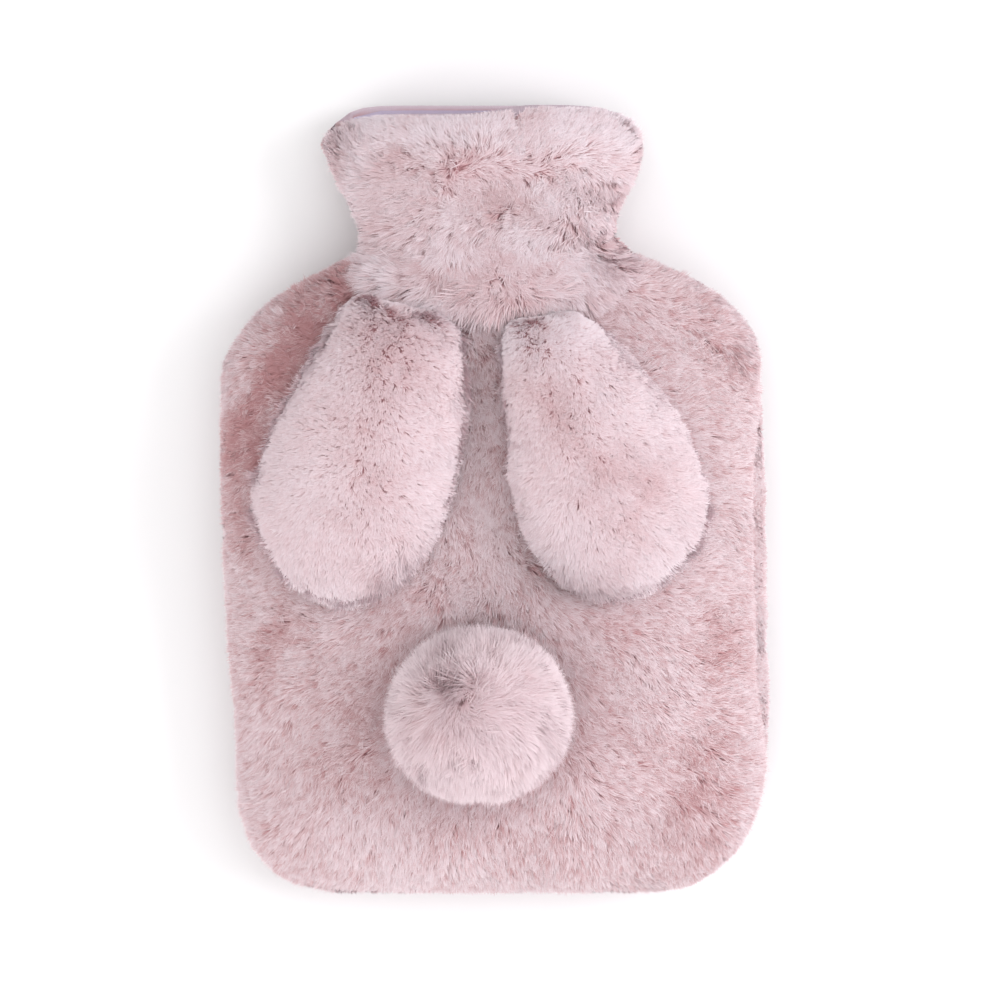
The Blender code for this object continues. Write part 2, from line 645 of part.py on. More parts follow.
def pompom():
    """The tail: a round core, flat where it is sewn on, with short thick locks all over the rest."""
    middle = np.array((*POMPOM_AT, SEAT_HEIGHT + POMPOM_CLEARANCE + POMPOM_MIDDLE))
    reach = np.array((POMPOM_WIDTH / 2.0, POMPOM_LENGTH / 2.0, POMPOM_RISE - POMPOM_MIDDLE))
    floor = SEAT_HEIGHT + POMPOM_CLEARANCE
    core_reach = reach - POMPOM_LOCK
    chance = np.random.RandomState(POMPOM_SEED)
    directions, quads = cube_directions(POMPOM_CUTS)
    directions += POMPOM_UNEVEN * chance.uniform(-1.0, 1.0, directions.shape)
    directions /= np.linalg.norm(directions, axis=1, keepdims=True)
    core = middle + directions * core_reach
    core[:, 2] = np.maximum(core[:, 2], floor)

    vertices = [tuple(point) for point in core]
    faces = []
    for quad in quads:
        corners = core[quad]
        root = corners.mean(axis=0)
        way = directions[quad].mean(axis=0)
        way /= np.linalg.norm(way)
        full = POMPOM_LOCK * (1.0 - POMPOM_LOCK_UNEVEN * chance.random())
        twist = Quaternion(way, POMPOM_LOCK_TWIST * chance.uniform(-1.0, 1.0)).to_matrix()
        lean = POMPOM_LOCK_LEAN * np.cross(way, chance.uniform(-1.0, 1.0, 3))
        room = (root[2] - floor) / -way[2] if way[2] < -0.05 else full
        length = min(full, room)
        if length < POMPOM_LOCK_SHORTEST:
            faces.append(quad)
            continue
        rings = []
        for lock_ring in POMPOM_LOCK_RINGS:
            spread = 1.0 + lock_ring.out * length / core_reach[0]
            turned = (corners - root) @ np.array(twist).T if lock_ring.out > 0.0 else corners - root
            ring = root + turned * lock_ring.width * spread + way * length * lock_ring.out
            ring[:, 2] = np.maximum(ring[:, 2], floor)
            rings.append(list(range(len(vertices), len(vertices) + 4)))
            vertices += [tuple(point) for point in ring]
        tip = root + way * length + lean
        tip[2] = max(tip[2], floor)
        peak = len(vertices)
        vertices.append(tuple(tip))
        for i in range(4):
            j = (i + 1) % 4
            faces.append((quad[i], quad[j], rings[0][j], rings[0][i]))
            faces.append((rings[0][i], rings[0][j], rings[1][j], rings[1][i]))
            faces.append((rings[1][i], rings[1][j], peak))
    return add_object("pompom", vertices, faces, finish("pompom_fur", (0.70, 0.52, 0.54), 0.95))


def build():
    """Clear the scene and make the cover's pieces."""
    for old in list(bpy.data.objects):
        bpy.data.objects.remove(old, do_unlink=True)
    body_front()
    neck_front()
    back_panel()
    mouth_facing()
    ear("ear_left", EAR_LEFT_ROOT, EAR_LEFT_TIP, EAR_LEFT_ROWS, (0.69, 0.51, 0.53))
    ear("ear_right", EAR_RIGHT_ROOT, EAR_RIGHT_TIP, EAR_RIGHT_ROWS, (0.71, 0.53, 0.55))
    pompom()


build()
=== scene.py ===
"""Looks of a plush hot water bottle cover with two floppy ears and a pompom tail, lying on a pale floor.

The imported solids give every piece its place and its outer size. A skin of cloth lies under the outer side of
each solid, and fine pile stands on the skin and reaches that side. Lengths are millimetres until a mesh is
made, which is in metres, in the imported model's own axes: +X across the cover, +Y towards its mouth, +Z up.
"""
import logging
import math
from dataclasses import dataclass, replace
from enum import Enum
from functools import cache

import bpy
import numpy as np
from bpy.types import ID, Material, Node, NodeSocket, NodeTree, Object
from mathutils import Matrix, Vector
from mathutils.bvhtree import BVHTree
from mathutils.kdtree import KDTree
from numpy.random import RandomState


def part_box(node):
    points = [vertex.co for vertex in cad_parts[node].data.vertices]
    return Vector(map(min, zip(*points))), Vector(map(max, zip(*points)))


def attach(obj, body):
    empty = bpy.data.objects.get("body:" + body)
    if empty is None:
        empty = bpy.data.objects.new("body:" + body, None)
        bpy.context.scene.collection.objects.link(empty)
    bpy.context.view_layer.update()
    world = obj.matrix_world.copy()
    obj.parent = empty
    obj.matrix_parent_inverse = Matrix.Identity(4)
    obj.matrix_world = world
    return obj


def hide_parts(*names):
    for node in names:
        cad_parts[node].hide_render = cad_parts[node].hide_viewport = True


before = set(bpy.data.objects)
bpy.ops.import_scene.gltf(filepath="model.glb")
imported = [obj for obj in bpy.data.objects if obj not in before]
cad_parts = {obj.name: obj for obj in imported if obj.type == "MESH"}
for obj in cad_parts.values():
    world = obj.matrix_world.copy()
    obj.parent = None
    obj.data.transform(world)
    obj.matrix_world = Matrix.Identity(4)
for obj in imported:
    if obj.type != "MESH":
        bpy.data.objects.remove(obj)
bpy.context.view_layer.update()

LOG = logging.getLogger("cover")

MM = 0.001

# More millimetres than anything here spans: no limit.
FAR = 1e9

UP = Vector((0.0, 0.0, 1.0))
DOWN = Vector((0.0, 0.0, -1.0))
PILE_MAP = "OFBake"
HEM_LAYER = "hem"

# The photograph's frame: its width in pixels, the length that a pixel shows, and the pixel over the origin.
FRAME_PIXELS = 1001.0
PIXEL = 0.4177
ORIGIN_PIXEL = (494.0, 498.5)

# How high the seam between the front and the back lies.
SEAM_HEIGHT = 28.0

Array = np.ndarray
Point = tuple[float, float]
Range = tuple[float, float]


# --- small helpers ---


def linear(hexcode: str) -> tuple[float, float, float, float]:
    """Turn a screen colour into the linear one that a shader takes, by the sRGB rule.

    Args:
        hexcode: six hexadecimal digits.

    Returns:
        Red, green, blue and a full alpha.
    """
    shares = [int(hexcode[i : i + 2], 16) / 255.0 for i in (0, 2, 4)]
    red, green, blue = (s / 12.92 if s <= 0.04045 else ((s + 0.055) / 1.055) ** 2.4 for s in shares)
    return red, green, blue, 1.0


def smooth_step(value: Array) -> Array:
    """Rise from 0 to 1 with level ends as value goes from 0 to 1."""
    t = np.clip(value, 0.0, 1.0)
    return t * t * (3.0 - 2.0 * t)


def unit(vectors: Array) -> Array:
    """Scale each row to length 1."""
    return vectors / np.maximum(np.linalg.norm(vectors, axis=-1, keepdims=True), 1e-9)


def swell(points: Array, length: float, seed: int) -> Array:
    """Smooth uneven values over space, between -1 and 1.

    Args:
        points: places, one row each.
        length: distance over which the values change.
        seed: picks one of many fields.

    Returns:
        One value for each point.
    """
    chance = RandomState(seed)
    waves = 7
    turns = unit(chance.normal(size=(waves, 3))) * (chance.uniform(0.6, 1.5, (waves, 1)) * math.tau / length)
    phases = chance.uniform(0.0, math.tau, waves)
    return np.clip(np.cos(points @ turns.T + phases).sum(axis=1) / math.sqrt(waves), -1.0, 1.0)


def distance_to_line(points: Array, ends: tuple[Point, Point]) -> tuple[Array, Array]:
    """Find how far points lie from a straight stretch, seen from above.

    Args:
        points: places, one row each.
        ends: the two ends of the stretch.

    Returns:
        The distances, and the vectors from the stretch to the points.
    """
    start = np.array(ends[0])
    run = np.array(ends[1]) - start
    flat = points[:, :2] - start
    along = np.clip(flat @ run / max(float(run @ run), 1e-9), 0.0, 1.0)
    away = flat - along[:, None] * run
    return np.linalg.norm(away, axis=1), away


def face_vectors(points: Array, triangles: Array) -> Array:
    """Each triangle's direction outwards, twice as long as its area."""
    a, b, c = (points[triangles[:, i]] for i in range(3))
    return np.cross(b - a, c - a)


def hits(tree: BVHTree, start: Vector, way: Vector, reach: float = FAR) -> bool:
    """Whether a ray meets the tree's surface within its reach."""
    return tree.ray_cast(start, way, reach)[0] is not None


# --- finishes ---


def new_material(name: str) -> tuple[Material, NodeTree, Node]:
    """Start a material on a Principled shader.

    Args:
        name: the material's name.

    Returns:
        The material, its node tree and its shader.
    """
    made = bpy.data.materials.new(name)
    made.use_nodes = True
    return made, made.node_tree, made.node_tree.nodes["Principled BSDF"]


def add_node(tree: NodeTree, kind: str, source: NodeSocket, values: dict[str, float] | None = None) -> Node:
    """Add a node.

    Args:
        tree: the material's node tree.
        kind: the node's type.
        source: what its first socket takes.
        values: what other sockets are set to, by their names.

    Returns:
        The node.
    """
    node = tree.nodes.new(kind)
    tree.links.new(source, node.inputs[0])
    for name, value in (values or {}).items():
        node.inputs[name].default_value = value
    return node


def add_ramp(tree: NodeTree, source: NodeSocket, stops: tuple[tuple[float, str], ...]) -> NodeSocket:
    """Add a colour ramp.

    Args:
        tree: the material's node tree.
        source: the value that it turns into a colour.
        stops: places from 0 to 1, each with its colour.

    Returns:
        The colour's socket.
    """
    node = add_node(tree, "ShaderNodeValToRGB", source)
    ramp = node.color_ramp
    while len(ramp.elements) < len(stops):
        ramp.elements.new(0.5)
    for element, (place, colour) in zip(ramp.elements, stops):
        element.position = place
        element.color = linear(colour)
    return node.outputs["Color"]


def add_mix(tree: NodeTree, factor: NodeSocket) -> list[NodeSocket]:
    """Add a mix of two colours.

    Args:
        tree: the material's node tree.
        factor: how much of the second colour it takes.

    Returns:
        The sockets of the two colours and of the mixed one.
    """
    mix = add_node(tree, "ShaderNodeMix", factor)
    mix.data_type = "RGBA"
    return [s for s in (*mix.inputs, *mix.outputs) if s.type == "RGBA"]


def add_bump(tree: NodeTree, source: NodeSocket, shader: Node, depth: Range) -> None:
    """Let a height bend the shader's normal.

    Args:
        tree: the material's node tree.
        source: the height.
        shader: the shader.
        depth: the bump's strength, and its distance in metres.
    """
    bump = tree.nodes.new("ShaderNodeBump")
    bump.inputs["Strength"].default_value, bump.inputs["Distance"].default_value = depth
    tree.links.new(source, bump.inputs["Height"])
    tree.links.new(bump.outputs["Normal"], shader.inputs["Normal"])


def bands(width: float) -> float:
    """The wave texture's scale at which a band and its gap take a width in metres."""
    return math.tau / 10.0 / width


@dataclass(frozen=True)
class PileFinish:
    """Fine pile, each hair between a deep and a pale shade: four colours each, from its root to its tip."""

    STOPS = (0.0, 0.35, 0.7, 1.0)

    name: str
    deep: str
    pale: str
    root_roughness: float = 0.95
    tip_roughness: float = 0.7
    specular: float = 0.25
    sheen: float = 0.4
    sheen_roughness: float = 0.45
    sheen_tint: str = "FFEFF4"

    def material(self) -> Material:
        """Make the material, which reads a hair's shade and the place along it from the pile's map.

        Returns:
            The material.
        """
        made, tree, shader = new_material(self.name)
        link = tree.links.new
        place = tree.nodes.new("ShaderNodeUVMap")
        place.uv_map = PILE_MAP
        split = add_node(tree, "ShaderNodeSeparateXYZ", place.outputs["UV"])
        *colours, mixed = add_mix(tree, split.outputs["X"])
        for shades, colour in zip((self.deep, self.pale), colours):
            stops = tuple(zip(self.STOPS, shades.split()))
            link(add_ramp(tree, split.outputs["Y"], stops), colour)
        link(mixed, shader.inputs["Base Color"])
        ends = {"To Min": self.root_roughness, "To Max": self.tip_roughness}
        worn = add_node(tree, "ShaderNodeMapRange", split.outputs["Y"], ends)
        link(worn.outputs["Result"], shader.inputs["Roughness"])
        shader.inputs["Specular IOR Level"].default_value = self.specular
        shader.inputs["Sheen Weight"].default_value = self.sheen
        shader.inputs["Sheen Roughness"].default_value = self.sheen_roughness
        shader.inputs["Sheen Tint"].default_value = linear(self.sheen_tint)
        return made


@dataclass(frozen=True)
class SkinFinish:
    """Knitted backing of the plush, with the short undercoat that shows between the hairs."""

    name: str
    dark: str
    light: str
    hem: str
    mottles: float = 160.0
    loop: float = 0.0016
    uneven: float = 2.5
    bump: Range = (0.3, 0.0004)
    roughness: float = 0.95
    specular: float = 0.2

    def material(self) -> Material:
        """Make the material: mottled colour, a hem's colour where the mesh says so, and knitted loops.

        Returns:
            The material.
        """
        made, tree, shader = new_material(self.name)
        place = tree.nodes.new("ShaderNodeTexCoord").outputs["Object"]
        hem = tree.nodes.new("ShaderNodeVertexColor")
        hem.layer_name = HEM_LAYER
        mottle = add_node(tree, "ShaderNodeTexNoise", place, {"Scale": self.mottles, "Detail": 4.0})
        colour = add_ramp(tree, mottle.outputs["Fac"], ((0.35, self.dark), (0.7, self.light)))
        plain, edge, mixed = add_mix(tree, hem.outputs["Color"])
        tree.links.new(colour, plain)
        edge.default_value = linear(self.hem)
        tree.links.new(mixed, shader.inputs["Base Color"])
        knit = {"Scale": bands(self.loop), "Distortion": self.uneven}
        loops = add_node(tree, "ShaderNodeTexWave", place, knit)
        add_bump(tree, loops.outputs["Fac"], shader, self.bump)
        shader.inputs["Roughness"].default_value = self.roughness
        shader.inputs["Specular IOR Level"].default_value = self.specular
        return made


@dataclass(frozen=True)
class SatinFinish:
    """Smooth woven facing with a soft shine and a fine diagonal twill."""

    name: str
    dark: str
    light: str
    thread: float = 0.0007
    uneven: float = 0.6
    bump: Range = (0.25, 0.0003)
    creases: float = 60.0
    shiny: float = 0.3
    dull: float = 0.5
    sheen: float = 0.3

    def material(self) -> Material:
        """Make the material: twill lines in colour and bump, and a shine that varies a little.

        Returns:
            The material.
        """
        made, tree, shader = new_material(self.name)
        place = tree.nodes.new("ShaderNodeTexCoord").outputs["Object"]
        weave = {"Scale": bands(self.thread), "Distortion": self.uneven}
        twill = add_node(tree, "ShaderNodeTexWave", place, weave)
        twill.bands_direction = "DIAGONAL"
        colour = add_ramp(tree, twill.outputs["Fac"], ((0.2, self.dark), (0.8, self.light)))
        tree.links.new(colour, shader.inputs["Base Color"])
        creased = add_node(tree, "ShaderNodeTexNoise", place, {"Scale": self.creases, "Detail": 3.0})
        ends = {"To Min": self.shiny, "To Max": self.dull}
        shine = add_node(tree, "ShaderNodeMapRange", creased.outputs["Fac"], ends)
        tree.links.new(shine.outputs["Result"], shader.inputs["Roughness"])
        add_bump(tree, twill.outputs["Fac"], shader, self.bump)
        shader.inputs["Sheen Weight"].default_value = self.sheen
        return made


@dataclass(frozen=True)
class FloorFinish:
    """Plain pale paper."""

    name: str
    colour: str
    roughness: float = 0.9

    def material(self) -> Material:
        """Make the material.

        Returns:
            The material.
        """
        made, _, shader = new_material(self.name)
        shader.inputs["Base Color"].default_value = linear(self.colour)
        shader.inputs["Roughness"].default_value = self.roughness
        return made


class Shade(Enum):
    """The finishes of the cover."""

    # The root colours, darkest in the deep rows, are partly the hair's own and partly painted shade: the warm,
    # saturated shade deep in the pile.
    BODY = PileFinish("body_pile", "A05F62 B3777A BF898B C9999B", "D69A9E E2BDC1 E9D4D8 EEE2E7")
    NECK = PileFinish("neck_pile", "B26E71 C28B8F CEA4A7 D8B5B8", "D6A0A4 E4C6CA EBDCE1 F0E7ED")
    EAR = PileFinish("ear_pile", "C08488 CB9A9E D3ADB0 DBB9BC", "DBABAF E5C9CD EBDBE0 EFE4EA")
    TAIL = PileFinish("tail_pile", "C98F93 D2A4A8 DAB5B9 E0C2C6", "DBA9AD E6C5C9 ECD6DA F0E1E6")
    # The skin's colours are partly the backing's own and partly painted shade: warm shade in the gaps between
    # the hairs.
    SKIN = SkinFinish("plush_backing", "B48084", "CC9DA1", "C9B5C0")
    FACING = SatinFinish("facing_satin_lilac", "B5A6C4", "D3C8DD")
    FLOOR = FloorFinish("pale_paper", "F4F3F4")


@cache
def material_of(shade: Shade) -> Material:
    """Return a finish's material, made the first time that it is asked for."""
    return shade.value.material()


# --- meshes ---


def add_object(name: str, contents: ID) -> Object:
    """Put a mesh, a lamp or a camera into the scene.

    Args:
        name: the object's name.
        contents: what it shows.

    Returns:
        The object.
    """
    made = bpy.data.objects.new(name, contents)
    bpy.context.scene.collection.objects.link(made)
    return made


def add_piece(name: str, points: Array, faces: Array | list, shade: Shade) -> Object:
    """Make a smooth-shaded piece of the cover.

    Args:
        name: the piece's name.
        points: its vertices in millimetres.
        faces: vertex indices of each face.
        shade: its finish.

    Returns:
        The object, riding on the cover's body.
    """
    mesh = bpy.data.meshes.new(name)
    mesh.from_pydata((points * MM).tolist(), [], [tuple(int(i) for i in face) for face in faces])
    mesh.shade_smooth()
    mesh.materials.append(material_of(shade))
    piece = add_object(name, mesh)
    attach(piece, "root")
    return piece


def mark_hem(piece: Object, hem: Array) -> None:
    """Note how much of a hem each vertex is, from 0 to 1, which the skin's finish reads."""
    layer = piece.data.color_attributes.new(HEM_LAYER, "FLOAT_COLOR", "POINT")
    layer.data.foreach_set("color", np.repeat(hem, 4).astype(np.float32))


def corner_normals(points: Array, triangles: Array) -> Array:
    """Average the faces' directions at each vertex, by their area.

    Args:
        points: vertices.
        triangles: three vertex indices a row.

    Returns:
        A unit direction for each vertex, or zero where no triangle uses it.
    """
    faces = face_vectors(points, triangles)
    total = np.zeros_like(points)
    for i in range(3):
        np.add.at(total, triangles[:, i], faces)
    return unit(total)


@dataclass
class Roots:
    """Where hairs stand: their places, the ways out of the skin, the reach to the pile's outer side.

    The ease, from 0 to 1, says how far a hair may lean over, and the limit how far up the cover it may go.
    """

    points: Array
    out: Array
    reach: Array
    ease: Array
    limit: Array

    def kept(self, mask: Array) -> "Roots":
        """Only the roots that the mask is true for."""
        return Roots(self.points[mask], self.out[mask], self.reach[mask], self.ease[mask], self.limit[mask])


def sow(
    ground: Array, tips: Array, triangles: Array, weights: Array, count: int, chance: RandomState
) -> Roots:
    """Spread roots over triangles, evenly by their weighted area.

    Args:
        ground: the skin's vertices.
        tips: where the pile over each of them ends.
        triangles: three vertex indices a row.
        weights: how thick the pile is on each triangle.
        count: how many roots to spread.
        chance: the source of chance.

    Returns:
        The roots.
    """
    area = np.linalg.norm(face_vectors(tips, triangles), axis=1) * weights
    steps = np.cumsum(area) / area.sum()
    chosen = np.searchsorted(steps, (np.arange(count) + chance.random_sample(count)) / count)
    chosen = triangles[np.minimum(chosen, len(triangles) - 1)]
    first, second = chance.random_sample((2, count))
    folded = first + second > 1.0
    first = np.where(folded, 1.0 - first, first)
    second = np.where(folded, 1.0 - second, second)
    shares = np.stack((1.0 - first - second, first, second), axis=1)[..., None]
    roots = (ground[chosen] * shares).sum(axis=1)
    way = (tips[chosen] * shares).sum(axis=1) - roots
    return Roots(roots, unit(way), np.linalg.norm(way, axis=1), np.ones(count), np.full(count, FAR))


# --- pile ---


@dataclass(frozen=True)
class PaintedParting:
    """A stretch where the pile stands up, fading out over its radius, and painted shade deepens its colour.

    With a negative strength the pile lies sleek there, and painted light makes its colour paler.
    """

    start: Point
    end: Point
    radius: float
    strength: float = 1.0


@dataclass(frozen=True)
class Combing:
    """Which way a piece's pile lies: away from a spine and with a pull, and uneven by swirls.

    Each kind of unevenness has a seed of its own, a fixed number past the piece's.
    """

    # How strongly, and over which lengths, a parting is uneven.
    RAGGED = ((0.5, 16.0), (0.3, 6.0))

    spine: tuple[Point, Point]
    ease: float = 45.0
    pull: tuple[float, float, float] = (0.0, -0.2, -0.4)
    swirl: float = 0.5
    swirl_length: float = 60.0
    unrest: float = 0.3
    unrest_length: float = 9.0
    drift: float = 0.3
    drift_length: float = 26.0
    rise: float = 0.0
    rise_from: float = 0.0
    rise_length: float = 16.0
    painted_partings: tuple[PaintedParting, ...] = ()
    seed: int = 1

    def openness(self, points: Array) -> Array:
        """Find how far the pile stands up.

        Args:
            points: the places, one row each.

        Returns:
            A value from 0 to about 1 for each, or below 0 where the pile is sleek.
        """
        open_here = np.zeros(len(points))
        for spot in self.painted_partings:
            away = distance_to_line(points, (spot.start, spot.end))[0] / spot.radius
            open_here += spot.strength * np.exp(-(away**2))
        ragged = np.ones(len(points))
        for number, (strength, length) in enumerate(self.RAGGED):
            ragged += strength * swell(points, length, self.seed + 80 + number)
        return open_here * np.maximum(ragged, 0.0)

    def directions(self, points: Array, out: Array, loose: Array) -> tuple[Array, Array]:
        """Find which way the pile lies at each point, and how far it lies down.

        Args:
            points: the places.
            out: the ways out of the skin there.
            loose: how much more of the unrest applies at each point.

        Returns:
            Unit directions along the skin, and how combed each place is, from 0 to 1.
        """
        distance, away = distance_to_line(points, self.spine)
        flat = away / np.hypot(distance, self.ease)[:, None] + np.array(self.pull[:2])
        for axis in (0, 1):
            flat[:, axis] += self.drift * swell(points, self.drift_length, self.seed + 20 + axis)
        flat[:, 1] += self.rise * smooth_step((points[:, 1] - self.rise_from) / self.rise_length)
        turn = self.swirl * swell(points, self.swirl_length, self.seed)
        turn += self.unrest * (1.0 + loose) * swell(points, self.unrest_length, self.seed + 50)
        cos, sin = np.cos(turn), np.sin(turn)
        x = flat[:, 0] * cos - flat[:, 1] * sin
        y = flat[:, 0] * sin + flat[:, 1] * cos
        way = np.stack((x, y, np.full(len(points), self.pull[2])), axis=1)
        way -= (way * out).sum(axis=1, keepdims=True) * out
        return unit(way), np.minimum(np.linalg.norm(way, axis=1), 1.0)


@dataclass(frozen=True)
class Pile:
    """The hairs of one piece: how wide, how far they lean, and how they gather into tufts.

    Widths are millimetres, heights and leans shares of the pile's depth, turns radians, and a tint goes from
    deep at 0 to pale at 1.
    """

    # Where the skin faces down no more than this, a hair's front is turned upwards as well, by this much.
    UNDERSIDE = -0.3
    UPTURN = 0.7

    width: float = 0.36
    width_range: Range = (0.7, 1.25)
    widest: float = 0.62
    height_range: Range = (0.78, 1.03)
    height_tuft: float = 0.05
    lean: float = 1.3
    least_lean: float = 0.6
    lean_tuft: float = 0.12
    lean_hair: float = 0.15
    lean_range: Range = (0.1, 2.2)
    hairs_per_tuft: float = 8.0
    tuft_pull: float = 0.35
    tuft_pull_range: Range = (0.4, 1.3)
    tuft_width: float = 0.25
    tuft_turn: float = 0.26
    tuft_loose: float = 2.5
    open_loose: float = 1.5
    hair_turn: float = 0.14
    twist: float = 0.6
    bend: float = 0.3
    tint_middle: float = 0.55
    tint_hair: float = 0.1
    tint_tuft: float = 0.12
    tint_slow: float = 0.06
    tint_slow_length: float = 45.0
    # Painted shade and light: an upright hair, or one in a painted parting, is deeper in colour, and a lying
    # or sleek one paler.
    painted_upright_shade: float = 0.2
    painted_open_shade: float = 0.35
    tint_calm: float = 0.35
    tint_range: Range = (0.03, 0.97)

    def tufts(self, points: Array, chance: RandomState) -> Array:
        """Gather the hairs into tufts.

        Args:
            points: the hairs' roots.
            chance: the source of chance.

        Returns:
            For each hair the number of the hair in the middle of its tuft.
        """
        count = max(1, int(len(points) / self.hairs_per_tuft))
        middles = chance.choice(len(points), count, replace=False)
        tree = KDTree(count)
        for place, hair in enumerate(middles):
            tree.insert(points[hair], place)
        tree.balance()
        nearest = np.fromiter((tree.find(point)[1] for point in points.tolist()), int, len(points))
        return middles[nearest]

    def grow(
        self, name: str, roots: Roots, combing: Combing, shade: Shade, seed: int, floor: float = -FAR
    ) -> Object:
        """Build the hairs as one mesh of slender triangles, each widest past its middle.

        Args:
            name: the piece's name.
            roots: where the hairs stand.
            combing: which way they lie.
            shade: their finish.
            seed: the seed of their chances.
            floor: the height that none goes under.

        Returns:
            The object, riding on the cover's body.
        """
        chance = RandomState(seed)
        count = len(roots.points)
        middles = self.tufts(roots.points, chance)
        openness = combing.openness(roots.points)
        open_here = np.clip(openness, 0.0, 1.0)

        way, combed = combing.directions(roots.points, roots.out, open_here * 2.0)
        combed *= roots.ease
        side = np.cross(roots.out, way)
        loose = 1.0 + self.open_loose * open_here + self.tuft_loose * (1.0 - combed) ** 2
        tuft_turns = self.tuft_turn * chance.normal(size=count)[middles] * loose
        turn = tuft_turns + self.hair_turn * chance.normal(size=count) * (2.0 - combed + open_here)
        way = way * np.cos(turn)[:, None] + side * np.sin(turn)[:, None]

        leaning = self.least_lean + (self.lean - self.least_lean) * combed * (1.0 - open_here)
        uneven = self.lean_tuft * chance.normal(size=count)[middles]
        leaning *= 1.0 + uneven + self.lean_hair * chance.normal(size=count)
        leaning *= roots.ease
        height = roots.reach * chance.uniform(*self.height_range, count)
        height *= 1.0 - self.height_tuft * np.abs(chance.normal(size=count))[middles]
        spread = roots.reach * np.clip(leaning, *self.lean_range)

        tip = roots.points + roots.out * height[:, None] + way * spread[:, None]
        pull = (self.tuft_pull * roots.ease * chance.uniform(*self.tuft_pull_range, count))[:, None]
        gathered = tip[middles] + self.tuft_width * (roots.points - roots.points[middles])
        tip += pull * (gathered - tip)
        tip[:, 1] = np.minimum(tip[:, 1], roots.limit)
        tip[:, 2] = np.maximum(tip[:, 2], floor)

        along = unit(tip - roots.points)
        flat = unit(np.cross(along, roots.out))
        edge = np.cross(along, flat)
        angle = self.twist * chance.uniform(-1.0, 1.0, count)[:, None]
        across = flat * np.cos(angle) + edge * np.sin(angle)
        width = self.width * chance.uniform(*self.width_range, count)[:, None]

        seen = roots.out + np.where(roots.out[:, 2:] > self.UNDERSIDE, self.UPTURN * np.array(UP), 0.0)
        facing = np.cross(across, along)
        across = np.where((facing * seen).sum(axis=1, keepdims=True) < 0.0, -across, across)
        waist = roots.points + self.widest * (tip - roots.points) + across * width
        waist[:, 2] = np.maximum(waist[:, 2], floor)
        corners = np.stack((roots.points, waist, tip), axis=1)
        bent = unit(roots.out - self.bend * (roots.out * along).sum(axis=1, keepdims=True) * along)
        normals = np.stack((roots.out, roots.out, bent), axis=1)

        # Each hair's tone varies at random by hair, tuft and region. Painted shade deepens upright and parted
        # hairs, as the pile's shaded depth would show, and painted light makes lying and sleek hairs paler.
        tint = self.tint_middle + self.tint_hair * chance.normal(size=count)
        tint += self.tint_tuft * chance.normal(size=count)[middles] + self.painted_upright_shade * (combed - 0.5)
        tint += self.tint_slow * swell(roots.points, self.tint_slow_length, seed + 7)
        tint += self.tint_calm * (1.0 - roots.ease) - self.painted_open_shade * openness
        return add_hairs(name, corners, normals, np.clip(tint, *self.tint_range), shade)


def add_hairs(name: str, corners: Array, normals: Array, tints: Array, shade: Shade) -> Object:
    """Make one mesh of hairs, a triangle each.

    Args:
        name: the piece's name.
        corners: three corners a hair: the root, the waist to one side, and the tip.
        normals: the direction that each corner is lit from.
        tints: each hair's shade, from deep at 0 to pale at 1.
        shade: the finish.

    Returns:
        The object, riding on the cover's body.
    """
    count = len(tints)
    mesh = bpy.data.meshes.new(name)
    mesh.vertices.add(count * 3)
    mesh.vertices.foreach_set("co", (corners.reshape(-1) * MM).astype(np.float32))
    mesh.loops.add(count * 3)
    mesh.loops.foreach_set("vertex_index", np.arange(count * 3, dtype=np.int32))
    mesh.polygons.add(count)
    mesh.polygons.foreach_set("loop_start", np.arange(0, count * 3, 3, dtype=np.int32))
    mesh.update(calc_edges=True)
    # A hair's map: its shade across, a little off at its waist, and the place along it upwards.
    places = np.empty((count, 3, 2), np.float32)
    places[..., 0] = tints[:, None] + np.array((0.0, 0.01, 0.0))
    places[..., 1] = np.array((0.0, 0.6, 1.0))
    uv_map = mesh.uv_layers.new(name=PILE_MAP)
    uv_map.data.foreach_set("uv", places.ravel())
    mesh.shade_smooth()
    lit = mesh.attributes.new("custom_normal", "FLOAT_VECTOR", "POINT")
    lit.data.foreach_set("vector", normals.astype(np.float32).ravel())
    mesh.materials.append(material_of(shade))
    piece = add_object(name, mesh)
    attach(piece, "root")
    return piece


# --- sub-assemblies ---


